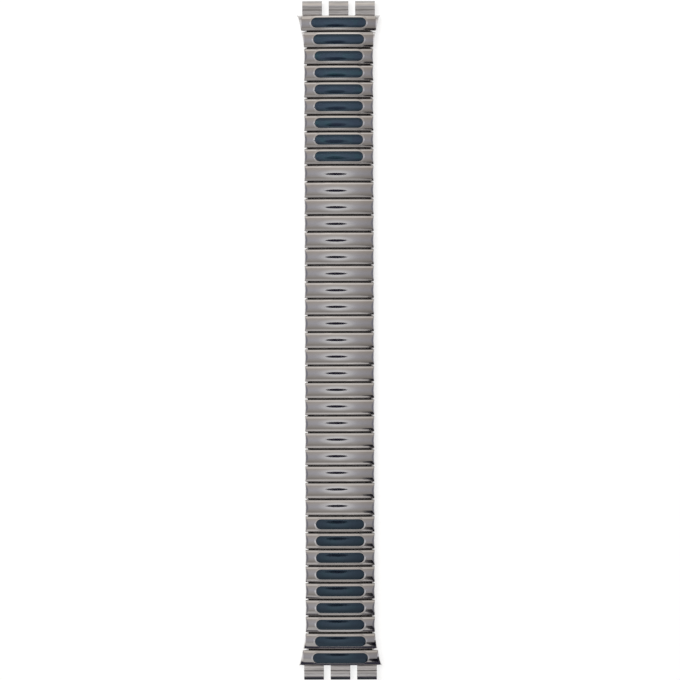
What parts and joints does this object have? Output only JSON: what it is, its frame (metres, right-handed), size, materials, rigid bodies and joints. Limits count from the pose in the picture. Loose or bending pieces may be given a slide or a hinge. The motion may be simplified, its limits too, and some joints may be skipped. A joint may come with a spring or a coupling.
{
  "type": "expansion watch band",
  "caption": "Flat flexible expansion watch band in polished steel, with dark blue enamel stadium inlays towards both ends and three rolled lugs for a pin at each end.",
  "frame": {"origin": "under the middle link, in the plane that the band lies on, at the centre of its outline", "axes": "+X across the band, +Y along the band, +Z from the wrist side up to the caps"},
  "size_m": [0.0194, 0.159, 0.0033],
  "materials": {
    "polished_steel": "polished steel",
    "sleeve_steel": "brushed steel"
  },
  "bodies": {
    "end_link_01": {"end_link_01": "polished_steel"},
    "enamel_link_02": {"enamel_link_02": "polished_steel"},
    "enamel_link_03": {"enamel_link_03": "polished_steel"},
    "enamel_link_04": {"enamel_link_04": "polished_steel"},
    "enamel_link_05": {"enamel_link_05": "polished_steel"},
    "enamel_link_06": {"enamel_link_06": "polished_steel"},
    "enamel_link_07": {"enamel_link_07": "polished_steel"},
    "enamel_link_08": {"enamel_link_08": "polished_steel"},
    "enamel_link_09": {"enamel_link_09": "polished_steel"},
    "plain_link_10": {"plain_link_10": "polished_steel"},
    "plain_link_11": {"plain_link_11": "polished_steel"},
    "plain_link_12": {"plain_link_12": "polished_steel"},
    "plain_link_13": {"plain_link_13": "polished_steel"},
    "plain_link_14": {"plain_link_14": "polished_steel"},
    "plain_link_15": {"plain_link_15": "polished_steel"},
    "plain_link_16": {"plain_link_16": "polished_steel"},
    "plain_link_17": {"plain_link_17": "polished_steel"},
    "plain_link_18": {"plain_link_18": "polished_steel"},
    "plain_link_19": {"plain_link_19": "polished_steel"},
    "plain_link_20": {"plain_link_20": "polished_steel"},
    "plain_link_21": {"plain_link_21": "polished_steel"},
    "plain_link_22": {"plain_link_22": "polished_steel"},
    "plain_link_23": {"plain_link_23": "polished_steel"},
    "plain_link_24": {"plain_link_24": "polished_steel"},
    "plain_link_25": {"plain_link_25": "polished_steel"},
    "plain_link_26": {"plain_link_26": "polished_steel"},
    "plain_link_27": {"plain_link_27": "polished_steel"},
    "plain_link_28": {"plain_link_28": "polished_steel"},
    "plain_link_29": {"plain_link_29": "polished_steel"},
    "plain_link_30": {"plain_link_30": "polished_steel"},
    "enamel_link_31": {"enamel_link_31": "polished_steel"},
    "enamel_link_32": {"enamel_link_32": "polished_steel"},
    "enamel_link_33": {"enamel_link_33": "polished_steel"},
    "enamel_link_34": {"enamel_link_34": "polished_steel"},
    "enamel_link_35": {"enamel_link_35": "polished_steel"},
    "enamel_link_36": {"enamel_link_36": "polished_steel"},
    "enamel_link_37": {"enamel_link_37": "polished_steel"},
    "enamel_link_38": {"enamel_link_38": "polished_steel"},
    "end_link_39": {"end_link_39": "polished_steel"},
    "expander_10": {"expander_10": "sleeve_steel"},
    "expander_11": {"expander_11": "sleeve_steel"},
    "expander_12": {"expander_12": "sleeve_steel"},
    "expander_13": {"expander_13": "sleeve_steel"},
    "expander_14": {"expander_14": "sleeve_steel"},
    "expander_15": {"expander_15": "sleeve_steel"},
    "expander_16": {"expander_16": "sleeve_steel"},
    "expander_17": {"expander_17": "sleeve_steel"},
    "expander_18": {"expander_18": "sleeve_steel"},
    "expander_19": {"expander_19": "sleeve_steel"},
    "expander_20": {"expander_20": "sleeve_steel"},
    "expander_21": {"expander_21": "sleeve_steel"},
    "expander_22": {"expander_22": "sleeve_steel"},
    "expander_23": {"expander_23": "sleeve_steel"},
    "expander_24": {"expander_24": "sleeve_steel"},
    "expander_25": {"expander_25": "sleeve_steel"},
    "expander_26": {"expander_26": "sleeve_steel"},
    "expander_27": {"expander_27": "sleeve_steel"},
    "expander_28": {"expander_28": "sleeve_steel"},
    "expander_29": {"expander_29": "sleeve_steel"}
  },
  "joints": [
    {"name": "stretch_20", "type": "slide", "parent": "plain_link_20", "child": "expander_20", "axis": [0, -1, 0], "range_m": [0, 0.0016], "stiffness_N_per_m": 3000, "deforming": ["expander_20"]},
    {"name": "stretch_19", "type": "slide", "parent": "plain_link_20", "child": "expander_19", "axis": [0, 1, 0], "range_m": [0, 0.0016], "stiffness_N_per_m": 3000, "deforming": ["expander_19"]},
    {"name": "stretch_21", "type": "slide", "parent": "plain_link_21", "child": "expander_21", "axis": [0, -1, 0], "range_m": [0, 0.0016], "stiffness_N_per_m": 3000, "deforming": ["expander_21"]},
    {"name": "stretch_18", "type": "slide", "parent": "plain_link_19", "child": "expander_18", "axis": [0, 1, 0], "range_m": [0, 0.0016], "stiffness_N_per_m": 3000, "deforming": ["expander_18"]},
    {"name": "stretch_22", "type": "slide", "parent": "plain_link_22", "child": "expander_22", "axis": [0, -1, 0], "range_m": [0, 0.0016], "stiffness_N_per_m": 3000, "deforming": ["expander_22"]},
    {"name": "stretch_17", "type": "slide", "parent": "plain_link_18", "child": "expander_17", "axis": [0, 1, 0], "range_m": [0, 0.0016], "stiffness_N_per_m": 3000, "deforming": ["expander_17"]},
    {"name": "stretch_23", "type": "slide", "parent": "plain_link_23", "child": "expander_23", "axis": [0, -1, 0], "range_m": [0, 0.0016], "stiffness_N_per_m": 3000, "deforming": ["expander_23"]},
    {"name": "stretch_16", "type": "slide", "parent": "plain_link_17", "child": "expander_16", "axis": [0, 1, 0], "range_m": [0, 0.0016], "stiffness_N_per_m": 3000, "deforming": ["expander_16"]},
    {"name": "stretch_24", "type": "slide", "parent": "plain_link_24", "child": "expander_24", "axis": [0, -1, 0], "range_m": [0, 0.0016], "stiffness_N_per_m": 3000, "deforming": ["expander_24"]},
    {"name": "stretch_15", "type": "slide", "parent": "plain_link_16", "child": "expander_15", "axis": [0, 1, 0], "range_m": [0, 0.0016], "stiffness_N_per_m": 3000, "deforming": ["expander_15"]},
    {"name": "stretch_25", "type": "slide", "parent": "plain_link_25", "child": "expander_25", "axis": [0, -1, 0], "range_m": [0, 0.0016], "stiffness_N_per_m": 3000, "deforming": ["expander_25"]},
    {"name": "stretch_14", "type": "slide", "parent": "plain_link_15", "child": "expander_14", "axis": [0, 1, 0], "range_m": [0, 0.0016], "stiffness_N_per_m": 3000, "deforming": ["expander_14"]},
    {"name": "stretch_26", "type": "slide", "parent": "plain_link_26", "child": "expander_26", "axis": [0, -1, 0], "range_m": [0, 0.0016], "stiffness_N_per_m": 3000, "deforming": ["expander_26"]},
    {"name": "stretch_13", "type": "slide", "parent": "plain_link_14", "child": "expander_13", "axis": [0, 1, 0], "range_m": [0, 0.0016], "stiffness_N_per_m": 3000, "deforming": ["expander_13"]},
    {"name": "stretch_27", "type": "slide", "parent": "plain_link_27", "child": "expander_27", "axis": [0, -1, 0], "range_m": [0, 0.0016], "stiffness_N_per_m": 3000, "deforming": ["expander_27"]},
    {"name": "stretch_12", "type": "slide", "parent": "plain_link_13", "child": "expander_12", "axis": [0, 1, 0], "range_m": [0, 0.0016], "stiffness_N_per_m": 3000, "deforming": ["expander_12"]},
    {"name": "stretch_28", "type": "slide", "parent": "plain_link_28", "child": "expander_28", "axis": [0, -1, 0], "range_m": [0, 0.0016], "stiffness_N_per_m": 3000, "deforming": ["expander_28"]},
    {"name": "stretch_11", "type": "slide", "parent": "plain_link_12", "child": "expander_11", "axis": [0, 1, 0], "range_m": [0, 0.0016], "stiffness_N_per_m": 3000, "deforming": ["expander_11"]},
    {"name": "stretch_29", "type": "slide", "parent": "plain_link_29", "child": "expander_29", "axis": [0, -1, 0], "range_m": [0, 0.0016], "stiffness_N_per_m": 3000, "deforming": ["expander_29"]},
    {"name": "stretch_10", "type": "slide", "parent": "plain_link_11", "child": "expander_10", "axis": [0, 1, 0], "range_m": [0, 0.0016], "stiffness_N_per_m": 3000, "deforming": ["expander_10"]},
    {"name": "bend_20", "type": "hinge", "parent": "expander_20", "child": "plain_link_21", "pos_m": [0, -0.00293, 0.002], "axis": [1, 0, 0], "range_deg": [-8, 8.6], "stiffness_Nm_per_rad": 0.003},
    {"name": "bend_19", "type": "hinge", "parent": "expander_19", "child": "plain_link_19", "pos_m": [0, 0.00293, 0.002], "axis": [-1, 0, 0], "range_deg": [-8, 8.6], "stiffness_Nm_per_rad": 0.003},
    {"name": "bend_21", "type": "hinge", "parent": "expander_21", "child": "plain_link_22", "pos_m": [0, -0.00684, 0.002], "axis": [1, 0, 0], "range_deg": [-8, 8.6], "stiffness_Nm_per_rad": 0.003},
    {"name": "bend_18", "type": "hinge", "parent": "expander_18", "child": "plain_link_18", "pos_m": [0, 0.00684, 0.002], "axis": [-1, 0, 0], "range_deg": [-8, 8.6], "stiffness_Nm_per_rad": 0.003},
    {"name": "bend_22", "type": "hinge", "parent": "expander_22", "child": "plain_link_23", "pos_m": [0, -0.01075, 0.002], "axis": [1, 0, 0], "range_deg": [-8, 8.6], "stiffness_Nm_per_rad": 0.003},
    {"name": "bend_17", "type": "hinge", "parent": "expander_17", "child": "plain_link_17", "pos_m": [0, 0.01075, 0.002], "axis": [-1, 0, 0], "range_deg": [-8, 8.6], "stiffness_Nm_per_rad": 0.003},
    {"name": "bend_23", "type": "hinge", "parent": "expander_23", "child": "plain_link_24", "pos_m": [0, -0.01466, 0.002], "axis": [1, 0, 0], "range_deg": [-8, 8.6], "stiffness_Nm_per_rad": 0.003},
    {"name": "bend_16", "type": "hinge", "parent": "expander_16", "child": "plain_link_16", "pos_m": [0, 0.01466, 0.002], "axis": [-1, 0, 0], "range_deg": [-8, 8.6], "stiffness_Nm_per_rad": 0.003},
    {"name": "bend_24", "type": "hinge", "parent": "expander_24", "child": "plain_link_25", "pos_m": [0, -0.01857, 0.002], "axis": [1, 0, 0], "range_deg": [-8, 8.6], "stiffness_Nm_per_rad": 0.003},
    {"name": "bend_15", "type": "hinge", "parent": "expander_15", "child": "plain_link_15", "pos_m": [0, 0.01857, 0.002], "axis": [-1, 0, 0], "range_deg": [-8, 8.6], "stiffness_Nm_per_rad": 0.003},
    {"name": "bend_25", "type": "hinge", "parent": "expander_25", "child": "plain_link_26", "pos_m": [0, -0.02248, 0.002], "axis": [1, 0, 0], "range_deg": [-8, 8.6], "stiffness_Nm_per_rad": 0.003},
    {"name": "bend_14", "type": "hinge", "parent": "expander_14", "child": "plain_link_14", "pos_m": [0, 0.02248, 0.002], "axis": [-1, 0, 0], "range_deg": [-8, 8.6], "stiffness_Nm_per_rad": 0.003},
    {"name": "bend_26", "type": "hinge", "parent": "expander_26", "child": "plain_link_27", "pos_m": [0, -0.02639, 0.002], "axis": [1, 0, 0], "range_deg": [-8, 8.6], "stiffness_Nm_per_rad": 0.003},
    {"name": "bend_13", "type": "hinge", "parent": "expander_13", "child": "plain_link_13", "pos_m": [0, 0.02639, 0.002], "axis": [-1, 0, 0], "range_deg": [-8, 8.6], "stiffness_Nm_per_rad": 0.003},
    {"name": "bend_27", "type": "hinge", "parent": "expander_27", "child": "plain_link_28", "pos_m": [0, -0.0303, 0.002], "axis": [1, 0, 0], "range_deg": [-8, 8.6], "stiffness_Nm_per_rad": 0.003},
    {"name": "bend_12", "type": "hinge", "parent": "expander_12", "child": "plain_link_12", "pos_m": [0, 0.0303, 0.002], "axis": [-1, 0, 0], "range_deg": [-8, 8.6], "stiffness_Nm_per_rad": 0.003},
    {"name": "bend_28", "type": "hinge", "parent": "expander_28", "child": "plain_link_29", "pos_m": [0, -0.03421, 0.002], "axis": [1, 0, 0], "range_deg": [-8, 8.6], "stiffness_Nm_per_rad": 0.003},
    {"name": "bend_11", "type": "hinge", "parent": "expander_11", "child": "plain_link_11", "pos_m": [0, 0.03421, 0.002], "axis": [-1, 0, 0], "range_deg": [-8, 8.6], "stiffness_Nm_per_rad": 0.003},
    {"name": "bend_29", "type": "hinge", "parent": "expander_29", "child": "plain_link_30", "pos_m": [0, -0.03812, 0.002], "axis": [1, 0, 0], "range_deg": [-8, 8.6], "stiffness_Nm_per_rad": 0.003},
    {"name": "bend_10", "type": "hinge", "parent": "expander_10", "child": "plain_link_10", "pos_m": [0, 0.03812, 0.002], "axis": [-1, 0, 0], "range_deg": [-8, 8.6], "stiffness_Nm_per_rad": 0.003},
    {"name": "bend_30", "type": "hinge", "parent": "plain_link_30", "child": "enamel_link_31", "pos_m": [0, -0.04203, 0.002], "axis": [1, 0, 0], "range_deg": [-8, 8.6], "stiffness_Nm_per_rad": 0.003},
    {"name": "bend_09", "type": "hinge", "parent": "plain_link_10", "child": "enamel_link_09", "pos_m": [0, 0.04203, 0.002], "axis": [-1, 0, 0], "range_deg": [-8, 8.6], "stiffness_Nm_per_rad": 0.003},
    {"name": "bend_31", "type": "hinge", "parent": "enamel_link_31", "child": "enamel_link_32", "pos_m": [0, -0.04594, 0.002], "axis": [1, 0, 0], "range_deg": [-8, 8.6], "stiffness_Nm_per_rad": 0.003},
    {"name": "bend_08", "type": "hinge", "parent": "enamel_link_09", "child": "enamel_link_08", "pos_m": [0, 0.04594, 0.002], "axis": [-1, 0, 0], "range_deg": [-8, 8.6], "stiffness_Nm_per_rad": 0.003},
    {"name": "bend_32", "type": "hinge", "parent": "enamel_link_32", "child": "enamel_link_33", "pos_m": [0, -0.04985, 0.002], "axis": [1, 0, 0], "range_deg": [-8, 8.6], "stiffness_Nm_per_rad": 0.003},
    {"name": "bend_07", "type": "hinge", "parent": "enamel_link_08", "child": "enamel_link_07", "pos_m": [0, 0.04985, 0.002], "axis": [-1, 0, 0], "range_deg": [-8, 8.6], "stiffness_Nm_per_rad": 0.003},
    {"name": "bend_33", "type": "hinge", "parent": "enamel_link_33", "child": "enamel_link_34", "pos_m": [0, -0.05376, 0.002], "axis": [1, 0, 0], "range_deg": [-8, 8.6], "stiffness_Nm_per_rad": 0.003},
    {"name": "bend_06", "type": "hinge", "parent": "enamel_link_07", "child": "enamel_link_06", "pos_m": [0, 0.05376, 0.002], "axis": [-1, 0, 0], "range_deg": [-8, 8.6], "stiffness_Nm_per_rad": 0.003},
    {"name": "bend_34", "type": "hinge", "parent": "enamel_link_34", "child": "enamel_link_35", "pos_m": [0, -0.05767, 0.002], "axis": [1, 0, 0], "range_deg": [-8, 8.6], "stiffness_Nm_per_rad": 0.003},
    {"name": "bend_05", "type": "hinge", "parent": "enamel_link_06", "child": "enamel_link_05", "pos_m": [0, 0.05767, 0.002], "axis": [-1, 0, 0], "range_deg": [-8, 8.6], "stiffness_Nm_per_rad": 0.003},
    {"name": "bend_35", "type": "hinge", "parent": "enamel_link_35", "child": "enamel_link_36", "pos_m": [0, -0.06158, 0.002], "axis": [1, 0, 0], "range_deg": [-8, 8.6], "stiffness_Nm_per_rad": 0.003},
    {"name": "bend_04", "type": "hinge", "parent": "enamel_link_05", "child": "enamel_link_04", "pos_m": [0, 0.06158, 0.002], "axis": [-1, 0, 0], "range_deg": [-8, 8.6], "stiffness_Nm_per_rad": 0.003},
    {"name": "bend_36", "type": "hinge", "parent": "enamel_link_36", "child": "enamel_link_37", "pos_m": [0, -0.06549, 0.002], "axis": [1, 0, 0], "range_deg": [-8, 8.6], "stiffness_Nm_per_rad": 0.003},
    {"name": "bend_03", "type": "hinge", "parent": "enamel_link_04", "child": "enamel_link_03", "pos_m": [0, 0.06549, 0.002], "axis": [-1, 0, 0], "range_deg": [-8, 8.6], "stiffness_Nm_per_rad": 0.003},
    {"name": "bend_37", "type": "hinge", "parent": "enamel_link_37", "child": "enamel_link_38", "pos_m": [0, -0.0694, 0.002], "axis": [1, 0, 0], "range_deg": [-8, 8.6], "stiffness_Nm_per_rad": 0.003},
    {"name": "bend_02", "type": "hinge", "parent": "enamel_link_03", "child": "enamel_link_02", "pos_m": [0, 0.0694, 0.002], "axis": [-1, 0, 0], "range_deg": [-8, 8.6], "stiffness_Nm_per_rad": 0.003},
    {"name": "bend_38", "type": "hinge", "parent": "enamel_link_38", "child": "end_link_39", "pos_m": [0, -0.07331, 0.002], "axis": [1, 0, 0], "range_deg": [-8, 8.6], "stiffness_Nm_per_rad": 0.003},
    {"name": "bend_01", "type": "hinge", "parent": "enamel_link_02", "child": "end_link_01", "pos_m": [0, 0.07331, 0.002], "axis": [-1, 0, 0], "range_deg": [-8, 8.6], "stiffness_Nm_per_rad": 0.003}
  ],
  "couplings": [
    {"joint": "stretch_19", "follows": "stretch_20", "ratio": 1},
    {"joint": "stretch_21", "follows": "stretch_20", "ratio": 1},
    {"joint": "stretch_18", "follows": "stretch_20", "ratio": 1},
    {"joint": "stretch_22", "follows": "stretch_20", "ratio": 1},
    {"joint": "stretch_17", "follows": "stretch_20", "ratio": 1},
    {"joint": "stretch_23", "follows": "stretch_20", "ratio": 1},
    {"joint": "stretch_16", "follows": "stretch_20", "ratio": 1},
    {"joint": "stretch_24", "follows": "stretch_20", "ratio": 1},
    {"joint": "stretch_15", "follows": "stretch_20", "ratio": 1},
    {"joint": "stretch_25", "follows": "stretch_20", "ratio": 1},
    {"joint": "stretch_14", "follows": "stretch_20", "ratio": 1},
    {"joint": "stretch_26", "follows": "stretch_20", "ratio": 1},
    {"joint": "stretch_13", "follows": "stretch_20", "ratio": 1},
    {"joint": "stretch_27", "follows": "stretch_20", "ratio": 1},
    {"joint": "stretch_12", "follows": "stretch_20", "ratio": 1},
    {"joint": "stretch_28", "follows": "stretch_20", "ratio": 1},
    {"joint": "stretch_11", "follows": "stretch_20", "ratio": 1},
    {"joint": "stretch_29", "follows": "stretch_20", "ratio": 1},
    {"joint": "stretch_10", "follows": "stretch_20", "ratio": 1}
  ]
}
